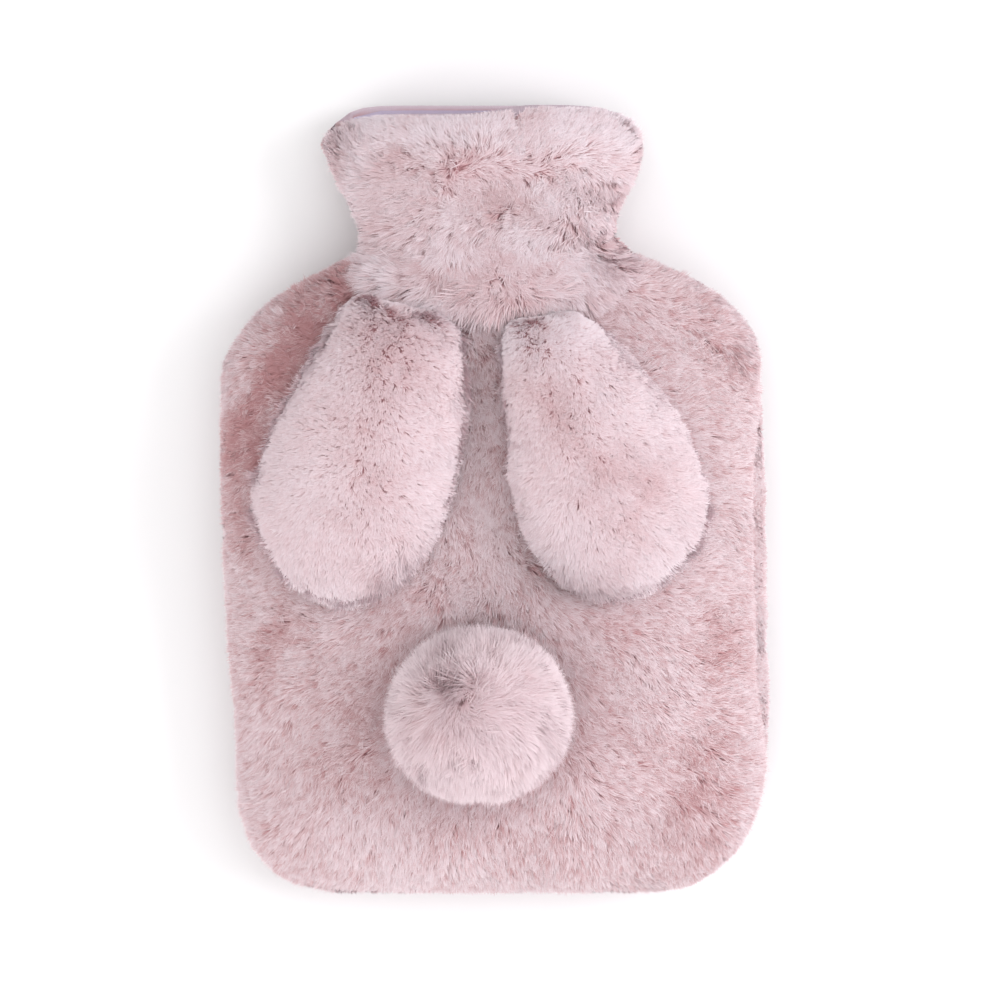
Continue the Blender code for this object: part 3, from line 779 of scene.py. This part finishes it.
class Hide:
    """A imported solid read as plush: its vertices, and the triangles of its outer side.

    A ledge is a level face at the seam's height. SPOTS are places in a triangle, by its corners'
    shares, and FREE_SPOTS says how many of them have to be free, on a ledge and off it.
    """

    AXIS = ((-4.0, -112.0), (-5.0, 170.0))
    SEAM_REACH = 1.5
    LEDGE = 3.0
    LEVEL = 0.7
    CLEAR = 0.02
    SPOTS = ((1 / 3, 1 / 3, 1 / 3), (0.8, 0.1, 0.1), (0.1, 0.8, 0.1), (0.1, 0.1, 0.8))
    FREE_SPOTS = {True: 1, False: 2}
    MOUTH_DEPTH = 25.0
    MOUTH_COLUMNS = 40

    def __init__(self, node: str) -> None:
        """Read the node's mesh and weld it.

        Args:
            node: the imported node's name.
        """
        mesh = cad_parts[node].data
        mesh.calc_loop_triangles()
        loose = np.empty(len(mesh.vertices) * 3, np.float32)
        mesh.vertices.foreach_get("co", loose)
        corners = np.empty(len(mesh.loop_triangles) * 3, np.int32)
        mesh.loop_triangles.foreach_get("vertices", corners)
        keys = np.round(loose.reshape(-1, 3).astype(float) / MM, 3)
        self.points, welded = np.unique(keys, axis=0, return_inverse=True)
        triangles = welded.reshape(-1)[corners].reshape(-1, 3)
        a, b, c = triangles.T
        self.triangles = triangles[(a != b) & (b != c) & (a != c)]
        self.ledge = np.zeros(len(self.triangles), bool)

    def tree(self) -> BVHTree:
        """A search tree over the solid's triangles, in millimetres."""
        return BVHTree.FromPolygons(self.points.tolist(), self.triangles.tolist())

    def outer_side(self, walls: list[BVHTree]) -> Array:
        """Tell the triangles of the outer side from those inside and in the seams.

        Args:
            walls: search trees over the cover's walls.

        Returns:
            True for each triangle of the outer side.
        """
        corners = self.points[self.triangles]
        middle = corners.sum(axis=1) / 3.0
        facing = unit(face_vectors(self.points, self.triangles))
        _, away = distance_to_line(middle, self.AXIS)
        height = middle[:, 2] - SEAM_HEIGHT
        outward = (np.column_stack((away, height)) * facing).sum(axis=1) > 0.0
        self.ledge = (facing[:, 2] > self.LEVEL) & (np.abs(height) < self.LEDGE)
        outward |= self.ledge
        spots = [(corners * np.array(share)[:, None]).sum(axis=1) for share in self.SPOTS]
        for i in np.nonzero(outward)[0]:
            way = Vector(facing[i])
            free = 0
            for spot in spots:
                start = Vector(spot[i]) + self.CLEAR * way
                free += not any(hits(wall, start, way, self.SEAM_REACH) for wall in walls)
            outward[i] = free >= self.FREE_SPOTS[bool(self.ledge[i])]
        return outward

    def in_mouth(self, places: Array) -> Array:
        """Which places lie near the mouth's rim."""
        return places[:, 1] >= self.points[:, 1].max() - self.MOUTH_DEPTH

    def rim_over(self, places: Array) -> Array:
        """Find how far up the cover the mouth's rim lies.

        Args:
            places: where to look, across the cover.

        Returns:
            The rim's height along the cover at each place.
        """
        across, upward = self.points[self.in_mouth(self.points), :2].T
        edges = np.linspace(across.min(), across.max(), self.MOUTH_COLUMNS + 1)
        column = np.clip(np.digitize(across, edges) - 1, 0, self.MOUTH_COLUMNS - 1)
        filled = np.unique(column)
        rim = np.array([upward[column == c].max() for c in filled])
        return np.interp(places, (edges[filled] + edges[filled + 1]) / 2.0, rim)


@dataclass
class PlushWall:
    """One panel of the cover: a skin under a packed wall's outer side, and pile on it.

    Along the mouth a hem is bare, or the pile stands up over the calm length and is thicker there. Hairs end
    at the mouth's rim, give or take its reach. A ledge has short, thick pile, and a neck's foot longer pile.
    """

    FACES_DOWN = -0.5
    LEDGE_HEM = 0.45
    SHORT_HAIR = 2.2
    COVER_MARGIN = 7.0
    COVERED_KEPT = 0.1

    node: str
    slot: str
    shade: Shade
    hairs: int
    combing: Combing
    pile: Pile
    pile_depth: float
    rests_on: str
    seed: int
    hem_depth: float = 0.0
    hem_weight: float = 1.5
    parts: tuple[tuple[str, float, float], ...] = (("pile", -FAR, FAR),)
    floor: float = -FAR
    under_weight: float = 1.0
    calm_length: float = 0.0
    calm_ease: Range = (0.55, 0.45)
    ledge_depth: float = 1.0
    ledge_weight: float = 10.0
    rim_reach: Range = (FAR, FAR)
    foot_growth: float = 0.0
    foot_length: float = 18.0
    foot_half_width: Range = (38.0, 50.0)

    def skin_points(self, hide: Hide, outer: Array) -> tuple[Array, Array]:
        """Set the outer side's vertices in by the pile's depth, or by a ledge's, and not at all at a hem.

        Args:
            hide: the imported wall.
            outer: which triangles are its outer side.

        Returns:
            The skin's vertices, and how much of a hem each is, from 0 to 1.
        """
        depth = np.zeros(len(hide.points))
        depth[hide.triangles[outer & ~hide.ledge]] = self.pile_depth
        on_ledge = hide.triangles[outer & hide.ledge]
        depth[on_ledge] = np.where(depth[on_ledge] > 0.0, 2.0 * self.ledge_depth, self.ledge_depth)
        out = corner_normals(hide.points, hide.triangles[outer])
        below = hide.rim_over(hide.points[:, 0]) - hide.points[:, 1]
        below[~hide.in_mouth(hide.points)] = FAR
        hem = np.zeros(len(hide.points))
        if self.hem_depth > 0.0:
            hem = 1.0 - smooth_step((below - self.hem_depth) / self.hem_depth)
            depth = depth * (1.0 - hem)
        if self.calm_length > 0.0:
            hem = 1.0 - smooth_step(2.0 * below / self.calm_length)
        hem[on_ledge] = np.maximum(hem[on_ledge], self.LEDGE_HEM)
        return hide.points - out * depth[:, None], hem

    def weights(self, hide: Hide, outer: Array, skin: Array, hem: Array) -> Array:
        """Say how thick the pile is: none on a bare hem, more on a ledge, and less below.

        Args:
            hide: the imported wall.
            outer: which triangles are its outer side.
            skin: the skin's vertices.
            hem: how much of a hem each is.

        Returns:
            A weight for each triangle of the outer side.
        """
        triangles = hide.triangles[outer]
        bare = (hem[triangles].min(axis=1) > 0.5) & (self.hem_depth > 0.0)
        under = unit(face_vectors(skin, triangles))[:, 2] < self.FACES_DOWN
        weights = np.where(bare, 0.0, 1.0) * np.where(under, self.under_weight, 1.0)
        weights = weights * np.where(hide.ledge[outer], self.ledge_weight, 1.0)
        if self.calm_length == 0.0:
            weights = weights * (1.0 + self.hem_weight * hem[triangles].max(axis=1))
        return weights

    def shaped(self, roots: Roots, hide: Hide, chance: RandomState) -> Roots:
        """Let the pile end at the mouth's rim, stand up near it, and grow longer at a neck's foot.

        Args:
            roots: the hairs' roots.
            hide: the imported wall.
            chance: the source of chance.

        Returns:
            The roots that stay.
        """
        count = len(roots.points)
        across, upward = roots.points[:, 0], roots.points[:, 1]
        rim = hide.rim_over(across)
        reach = chance.uniform(*self.rim_reach, count)
        roots.limit = np.where(hide.in_mouth(roots.points), rim + reach, FAR)
        if self.foot_growth > 0.0:
            half, none = self.foot_half_width
            near = 1.0 - smooth_step((upward - hide.points[:, 1].min()) / self.foot_length)
            near *= 1.0 - smooth_step((np.abs(across - Hide.AXIS[0][0]) - half) / (none - half))
            roots.reach *= 1.0 + self.foot_growth * near
        if self.calm_length > 0.0:
            below = rim - upward
            least, more = self.calm_ease
            roots.ease = least + more * smooth_step(below / self.calm_length)
            thick = 1.0 + self.hem_weight * (1.0 - smooth_step(2.0 * below / self.calm_length))
            roots = roots.kept(chance.random_sample(count) * (1.0 + self.hem_weight) < thick)
        return roots

    def build(self, walls: list[BVHTree], covers: list[BVHTree]) -> list[Object]:
        """Make the skin and its pile.

        Args:
            walls: search trees over the cover's walls, which show where a seam is.
            covers: search trees over what lies on this panel and hides it.

        Returns:
            The pieces.
        """
        hide = Hide(self.node)
        outer = hide.outer_side(walls)
        skin, hem = self.skin_points(hide, outer)
        cloth = add_piece(self.node + "_skin", skin, hide.triangles, Shade.SKIN)
        mark_hem(cloth, hem)
        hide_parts(self.node)

        chance = RandomState(self.seed)
        weights = self.weights(hide, outer, skin, hem)
        roots = sow(skin, hide.points, hide.triangles[outer], weights, self.hairs, chance)
        roots = roots.kept(~self.covered(roots, walls))
        roots = self.shaped(roots, hide, chance)
        roots = roots.kept(~self.hidden(roots, covers, chance))
        pile = []
        for number, (part, low, high) in enumerate(self.parts):
            here = roots.kept((roots.points[:, 1] >= low) & (roots.points[:, 1] < high))
            name = f"{self.node}_{part}"
            hair = self.pile.grow(name, here, self.combing, self.shade, self.seed + number, self.floor)
            pile.append(hair)

        low, high = skin.min(axis=0) * MM, skin.max(axis=0) * MM
        return [cloth, *pile]

    def covered(self, roots: Roots, walls: list[BVHTree]) -> Array:
        """Find the short hairs of a ledge that stand under another wall.

        Args:
            roots: the hairs' roots.
            walls: search trees over the cover's walls.

        Returns:
            True for each hair to leave out.
        """
        gone = np.zeros(len(roots.points), bool)
        short = roots.reach < self.SHORT_HAIR * self.ledge_depth
        for i in np.nonzero(short & (roots.out[:, 2] > Hide.LEVEL))[0]:
            start = Vector(roots.points[i] + roots.out[i] * (roots.reach[i] + Hide.CLEAR))
            gone[i] = any(hits(wall, start, UP, Hide.SEAM_REACH) for wall in walls)
        return gone

    def hidden(self, roots: Roots, covers: list[BVHTree], chance: RandomState) -> Array:
        """Pick most of the hairs that stand well under an ear or the tail.

        Args:
            roots: the hairs' roots.
            covers: search trees over what lies on the panel.
            chance: the source of chance.

        Returns:
            True for each hair to leave out.
        """
        gone = np.zeros(len(roots.points), bool)
        if not covers:
            return gone
        far = self.COVER_MARGIN
        offsets = ((far, 0.0), (-far, 0.0), (0.0, far), (0.0, -far))
        for i in np.nonzero(chance.random_sample(len(gone)) > self.COVERED_KEPT)[0]:
            x, y, z = roots.points[i]
            for cover in covers:
                if all(hits(cover, Vector((x + dx, y + dy, z)), UP) for dx, dy in offsets):
                    gone[i] = True
                    break
        return gone


@dataclass
class Facing:
    """The smooth strip inside the back of the mouth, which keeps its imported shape."""

    node: str = "mouth_facing"

    def build(self) -> list[Object]:
        """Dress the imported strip.

        Returns:
            The strip alone.
        """
        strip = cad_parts[self.node]
        strip.data.materials.clear()
        strip.data.materials.append(material_of(Shade.FACING))
        return [strip]


@dataclass
class Ear:
    """A lightly stuffed ear: a pad swollen as cloth under pressure, and pile on it."""

    SKY = 200.0
    PROBE_RISE = 5.0
    FACES_DOWN = -0.45

    node: str
    combing: Combing
    pile: Pile
    seed: int
    hairs: int = 130_000
    pile_depth: float = 6.0
    thinning: float = 0.9
    lift: float = 3.0
    voxel: float = 4.0
    pressure: float = 4.0
    most_swell: float = 2.5
    frames: int = 20
    reach_range: Range = (3.0, 8.5)
    root_reach: float = 0.2
    root_fade: float = 15.0
    under_weight: float = 0.25

    def start_form(self, hide: Hide, front: BVHTree) -> Array:
        """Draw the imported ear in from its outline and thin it, to leave room for the pile.

        Args:
            hide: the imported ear.
            front: a search tree over the body's front, on which the ear lies.

        Returns:
            The vertices of the smaller ear.
        """
        flat = hide.points[:, :2]
        centre = (flat.max(axis=0) + flat.min(axis=0)) / 2.0
        axis = np.linalg.svd(flat - flat.mean(axis=0), full_matrices=False)[2][0]
        axis *= -np.sign(axis[1])
        side = np.array((-axis[1], axis[0]))
        along, across = (flat - centre) @ axis, (flat - centre) @ side
        root = along.min()
        drawn_along = root + (along - root) * (1.0 - self.pile_depth / (along.max() - root))
        middle = (across.max() + across.min()) / 2.0
        half = (across.max() - across.min()) / 2.0
        drawn_across = middle + (across - middle) * (1.0 - self.pile_depth / half)
        place = centre + drawn_along[:, None] * axis + drawn_across[:, None] * side
        own = hide.tree()
        ground, thick = np.zeros(len(flat)), np.zeros(len(flat))
        for i, (x, y, z) in enumerate(hide.points.tolist()):
            below = front.ray_cast(Vector((x, y, z + self.PROBE_RISE)), DOWN)[0]
            ground[i] = below.z if below is not None else z
            top = own.ray_cast(Vector((x, y, self.SKY)), DOWN)[0]
            thick[i] = max(z, top.z if top is not None else z) - ground[i]
        share = np.clip(thick / thick.max(), 0.0, 1.0)
        less = (self.lift + self.thinning * self.pile_depth) * share / np.maximum(thick, 1.0)
        over = (hide.points[:, 2] - ground) * (1.0 - less)
        return np.column_stack((place, ground + self.lift * share + over))

    def swollen(self, points: Array, triangles: Array) -> Object:
        """Swell the smaller ear as closed cloth under pressure and round it off.

        Args:
            points: its vertices.
            triangles: its faces.

        Returns:
            The pad.
        """
        pad = add_piece(self.node + "_pad", points, triangles, Shade.SKIN)
        remesh = pad.modifiers.new("even", "REMESH")
        remesh.mode = "VOXEL"
        remesh.voxel_size = self.voxel * MM
        self.apply(pad)
        start = np.array([v.co for v in pad.data.vertices])
        cloth = pad.modifiers.new("stuffing", "CLOTH")
        cloth.settings.use_pressure = True
        cloth.settings.uniform_pressure_force = self.pressure
        cloth.settings.effector_weights.gravity = 0.0
        scene = bpy.context.scene
        scene.frame_start, scene.frame_end = 1, self.frames
        for number in range(1, self.frames + 1):
            scene.frame_set(number)
        self.apply(pad)
        scene.frame_set(1)
        end = np.array([v.co for v in pad.data.vertices])
        moved = end - start
        far = np.linalg.norm(moved, axis=1, keepdims=True)
        moved *= np.minimum(1.0, self.most_swell * MM / np.maximum(far, 1e-9))
        pad.data.vertices.foreach_set("co", (start + moved).astype(np.float32).ravel())
        rounder = pad.modifiers.new("rounder", "SUBSURF")
        rounder.levels = rounder.render_levels = 1
        self.apply(pad)
        pad.data.shade_smooth()
        return pad

    @staticmethod
    def apply(pad: Object) -> None:
        """Put what the pad's modifiers make of it into its mesh, and clear them.

        Args:
            pad: the pad.
        """
        graph = bpy.context.evaluated_depsgraph_get()
        graph.update()
        made = bpy.data.meshes.new_from_object(pad.evaluated_get(graph), depsgraph=graph)
        pad.modifiers.clear()
        pad.data = made

    def build(self, front: BVHTree) -> list[Object]:
        """Make the pad and its pile.

        Args:
            front: a search tree over the body's front.

        Returns:
            The pieces.
        """
        hide = Hide(self.node)
        pad = self.swollen(self.start_form(hide, front), hide.triangles)
        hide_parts(self.node)
        mark_hem(pad, np.zeros(len(pad.data.vertices)))
        mesh = pad.data
        mesh.calc_loop_triangles()
        points = np.array([v.co for v in mesh.vertices]) / MM
        triangles = np.array([t.vertices[:] for t in mesh.loop_triangles])
        out = corner_normals(points, triangles)
        outside = hide.tree()
        reach = []
        for point, way in zip(points, out):
            hit, surface, _, distance = outside.ray_cast(Vector(point), Vector(way))
            reach.append(distance if hit is not None and surface.dot(Vector(way)) > 0.0 else 0.0)
        reach = np.clip(np.array(reach), *self.reach_range)
        root = hide.points[:, 1].max()
        inward = smooth_step((root - points[:, 1]) / self.root_fade)
        reach *= self.root_reach + (1.0 - self.root_reach) * inward
        tips = points + out * reach[:, None]
        under = unit(face_vectors(points, triangles))[:, 2] < self.FACES_DOWN
        weights = np.where(under, self.under_weight, 1.0)
        roots = sow(points, tips, triangles, weights, self.hairs, RandomState(self.seed))
        hair = self.pile.grow(self.node + "_pile", roots, self.combing, Shade.EAR, self.seed)
        return [pad, hair]


@dataclass
class Tail:
    """The pompom: a round core and dense pile, clipped to a ball."""

    FACES_DOWN = -0.75

    combing: Combing
    pile: Pile
    hairs: int
    seed: int
    node: str = "pompom"
    squash: float = 0.94
    core_share: float = 0.66
    core_rings: int = 32
    core_cuts: int = 48
    seat_room: float = 0.6
    tip_room: float = 0.5
    under_weight: float = 0.1

    def ball(self) -> tuple[Array, Array]:
        """Draw a ball of radius 1.

        Returns:
            Its vertices, and its triangles.
        """
        polar = np.linspace(0.0, math.pi, self.core_rings + 1)
        round_way = np.linspace(0.0, math.tau, self.core_cuts, endpoint=False)
        ways = [(0.0, 0.0, 1.0)]
        for p in polar[1:-1]:
            ways += [(math.sin(p) * math.cos(r), math.sin(p) * math.sin(r), math.cos(p)) for r in round_way]
        ways.append((0.0, 0.0, -1.0))
        cuts = self.core_cuts
        last = 1 + (self.core_rings - 2) * cuts
        triangles = []
        for c in range(cuts):
            d = (c + 1) % cuts
            triangles.append((0, 1 + c, 1 + d))
            for ring in range(1, last, cuts):
                a, b = ring + c, ring + d
                triangles += [(a, a + cuts, b + cuts), (a, b + cuts, b)]
            triangles.append((last + c, len(ways) - 1, last + d))
        return np.array(ways), np.array(triangles)

    def build(self) -> list[Object]:
        """Make the core and its pile.

        Returns:
            The pieces.
        """
        low, high = (np.array(corner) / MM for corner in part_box(self.node))
        half = (high - low)[:2] / 2.0
        centre = np.array((*(low + high)[:2] / 2.0, high[2] - half.mean() * self.squash))
        reach = np.array((*half, high[2] - centre[2]))
        floor = low[2] + self.seat_room

        ways, triangles = self.ball()
        core = centre + ways * reach * self.core_share
        core[:, 2] = np.maximum(core[:, 2], floor)
        ball = add_piece("pompom_core", core, triangles, Shade.SKIN)
        mark_hem(ball, np.zeros(len(core)))
        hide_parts(self.node)

        tips = centre + ways * reach
        tips[:, 2] = np.maximum(tips[:, 2], floor + self.tip_room)
        under = ways[triangles].mean(axis=1)[:, 2] < self.FACES_DOWN
        weights = np.where(under, self.under_weight, 1.0)
        roots = sow(core, tips, triangles, weights, self.hairs, RandomState(self.seed))
        hair = self.pile.grow("pompom_pile", roots, self.combing, Shade.TAIL, self.seed, floor)
        return [ball, hair]


@dataclass
class Studio:
    """Pale floor, soft lights, and a camera straight over the cover."""

    # Each lamp's name, place, side, power in watts, and colour. It is square and points at the cover.
    LAMPS = (
        ("key", (1300.0, 100.0, 1050.0), 1100.0, 15.0, "F9F8FB"),
        ("fill", (-900.0, -1150.0, 950.0), 1400.0, 11.0, "FCFAFA"),
        ("top", (200.0, -100.0, 2200.0), 1600.0, 9.0, "FFFFFF"),
    )

    camera_height: float = 3000.0
    floor_size: float = 4000.0
    sensor: float = 36.0
    world_colour: str = "FFFFFF"
    world_strength: float = 0.84

    def build(self) -> None:
        """Set the floor, the lights, the sky and the camera."""
        half = self.floor_size / 2.0 * MM
        corners = [(-half, -half, 0.0), (half, -half, 0.0), (half, half, 0.0), (-half, half, 0.0)]
        mesh = bpy.data.meshes.new("floor")
        mesh.from_pydata(corners, [], [(0, 1, 2, 3)])
        mesh.materials.append(material_of(Shade.FLOOR))
        floor = add_object("floor", mesh)

        for name, place, size, power, colour in self.LAMPS:
            lamp = bpy.data.lights.new(name, "AREA")
            lamp.size = size * MM
            lamp.energy = power
            lamp.color = linear(colour)[:3]
            hung = add_object(name, lamp)
            hung.location = Vector(place) * MM
            hung.rotation_euler = (-Vector(place)).to_track_quat("-Z", "Y").to_euler()

        world = bpy.data.worlds.new("studio")
        world.use_nodes = True
        sky = world.node_tree.nodes["Background"]
        sky.inputs["Color"].default_value = linear(self.world_colour)
        sky.inputs["Strength"].default_value = self.world_strength
        bpy.context.scene.world = world
        bpy.context.scene.view_settings.view_transform = "Standard"

        middle = FRAME_PIXELS / 2.0
        camera = bpy.data.cameras.new("camera")
        camera.sensor_width = self.sensor
        camera.lens = self.sensor * (self.camera_height - SEAM_HEIGHT) / (FRAME_PIXELS * PIXEL)
        camera.clip_end = 100.0
        holder = add_object("camera", camera)
        x, y = (middle - ORIGIN_PIXEL[0]) * PIXEL, (ORIGIN_PIXEL[1] - middle) * PIXEL
        holder.location = Vector((x, y, self.camera_height)) * MM
        bpy.context.scene.camera = holder


# --- the cover ---

# Painted partings: besides setting how far the pile stands up, each paints shade or light into its colour. The
# first body stretch paints the left ear's shadow beside it, over pile that stands up there. The sleek
# stretches between the ears and at the ears' tops and lower rims paint light over the shade that falls there.
BODY_PAINTED_PARTINGS = (
    PaintedParting((-62, 84), (-98, 24), 13, 1.7),
    PaintedParting((-97, 10), (-100, -14), 10, 0.8),
    PaintedParting((-7, 66), (-5, -30), 16, -0.5),
    PaintedParting((-80, -100), (-40, -150), 16, -0.25),
    PaintedParting((-82, -52), (-90, -66), 12, 0.6),
    PaintedParting((-52, -86), (-46, -112), 9, 0.5),
    PaintedParting((-74, -104), (-66, -110), 12, 0.45),
    PaintedParting((84, -106), (80, -140), 12, 0.8),
    PaintedParting((86, -52), (90, -66), 11, 0.6),
    PaintedParting((94, 56), (80, 74), 10, 0.5),
    PaintedParting((50, -92), (60, -98), 10, 0.4),
    PaintedParting((-4, 82), (10, 74), 9, -0.8),
)
NECK_PAINTED_PARTINGS = (
    PaintedParting((-14, 136), (-2, 124), 9, 0.6),
    PaintedParting((-2, 96), (12, 88), 11, 0.6),
    PaintedParting((34, 114), (40, 110), 6, 0.5),
)
LEFT_EAR_PAINTED_PARTINGS = (
    PaintedParting((-50, 68), (-42, 56), 12, 0.6),
    PaintedParting((-56, 30), (-44, -24), 12, 0.35),
    PaintedParting((-86, -30), (-44, -42), 10, -0.5),
    PaintedParting((-58, 82), (-20, 80), 8, -0.7),
)
RIGHT_EAR_PAINTED_PARTINGS = (
    PaintedParting((24, 44), (44, 12), 12, 0.6),
    PaintedParting((60, 8), (54, -8), 12, 0.6),
    PaintedParting((52, -20), (44, -26), 9, 0.5),
    PaintedParting((26, -26), (78, -38), 10, -0.35),
    PaintedParting((2, 74), (40, 76), 14, -1.2),
)
TAIL_PAINTED_PARTINGS = (
    PaintedParting((-24, -72), (-12, -82), 13, -0.6),
    PaintedParting((-8, -88), (8, -84), 14, -0.2),
)

BODY_SPINE = ((-4.0, 60.0), (-5.0, -70.0))
BODY = PlushWall(
    node="body_front", slot="body_plush", shade=Shade.BODY, hairs=430_000,
    pile_depth=6.0, rests_on="back_panel", seed=21,
    combing=Combing(BODY_SPINE, pull=(0.0, -0.35, -0.3), drift=0.22, painted_partings=BODY_PAINTED_PARTINGS, seed=3),
    pile=Pile(least_lean=1.0, tint_hair=0.2, tint_tuft=0.26, tint_middle=0.69, painted_open_shade=0.5),
    parts=(("pile_low", -FAR, -82.0), ("pile_middle", -82.0, 12.0), ("pile_high", 12.0, FAR)),
)
NECK = PlushWall(
    node="neck_front", slot="neck_plush", shade=Shade.NECK, hairs=185_000,
    pile_depth=5.5, rests_on="back_panel", seed=31,
    combing=Combing(
        spine=((-14.0, 131.0), (120.0, 131.0)), ease=26.0, pull=(0.15, -0.2, -0.12),
        rise=1.2, rise_from=136.0, swirl=0.8, swirl_length=50.0, drift=0.35, painted_partings=NECK_PAINTED_PARTINGS, seed=5,
    ),
    pile=Pile(
        lean=1.9, least_lean=1.0, hairs_per_tuft=12.0, tuft_turn=0.3,
        tint_middle=0.6, tint_slow=0.16, tint_slow_length=26.0, tint_calm=0.6,
    ),
    under_weight=0.1, calm_length=24.0, rim_reach=(-3.8, -1.2), foot_growth=0.8,
)
BACK = PlushWall(
    node="back_panel", slot="back_plush", shade=Shade.BODY, hairs=130_000,
    pile_depth=6.0, rests_on="floor", seed=41,
    combing=Combing(BODY_SPINE, pull=(0.0, -0.4, 0.2), seed=9),
    pile=Pile(width=0.6, lean=0.9, tint_middle=0.75),
    hem_depth=1.6, floor=0.0, under_weight=0.5, rim_reach=(-0.6, 0.6),
)
EAR_PILE = Pile(
    width=0.44, widest=0.68, least_lean=0.9, tuft_pull=0.12, twist=0.4,
    tint_hair=0.07, tint_tuft=0.08, tint_middle=0.6,
)
LEFT_EAR = Ear(
    node="ear_left", pile=EAR_PILE, seed=51,
    combing=Combing(
        spine=((-28.0, 110.0), (-58.0, -6.0)), ease=22.0, pull=(-0.2, -0.65, -0.35),
        painted_partings=LEFT_EAR_PAINTED_PARTINGS, seed=13,
    ),
)
RIGHT_EAR = Ear(
    node="ear_right", pile=replace(EAR_PILE, tint_middle=0.62), seed=61,
    combing=Combing(
        spine=((10.0, 110.0), (46.0, -4.0)), ease=22.0, pull=(0.2, -0.65, -0.35),
        painted_partings=RIGHT_EAR_PAINTED_PARTINGS, seed=17,
    ),
)
TAIL = Tail(
    hairs=96_000, seed=71,
    combing=Combing(
        spine=((-22.0, -77.0), (6.0, -80.0)), ease=30.0, pull=(0.1, -0.25, -0.35), swirl_length=20.0,
        unrest=0.5, painted_partings=TAIL_PAINTED_PARTINGS, seed=19,
    ),
    pile=Pile(
        width=0.32, lean=1.05, least_lean=1.0, hairs_per_tuft=24.0, tuft_pull=0.22, tuft_turn=0.35,
        tuft_loose=3.0, tint_middle=0.86,
    ),
)


def main() -> None:
    """Build the cover piece by piece, then the studio."""
    logging.basicConfig(level=logging.INFO, format="%(message)s")
    walls = [Hide(node).tree() for node in ("body_front", "neck_front", "back_panel")]
    covers = [Hide(node).tree() for node in ("ear_left", "ear_right", "pompom")]
    made = BODY.build(walls, covers)
    made += NECK.build(walls, [])
    made += BACK.build(walls, [])
    made += Facing().build()
    made += LEFT_EAR.build(walls[0])
    made += RIGHT_EAR.build(walls[0])
    made += TAIL.build()
    Studio().build()
    for piece in made:
        LOG.info("%s: %d faces", piece.name, len(piece.data.polygons))


if __name__ == "__main__":
    main()
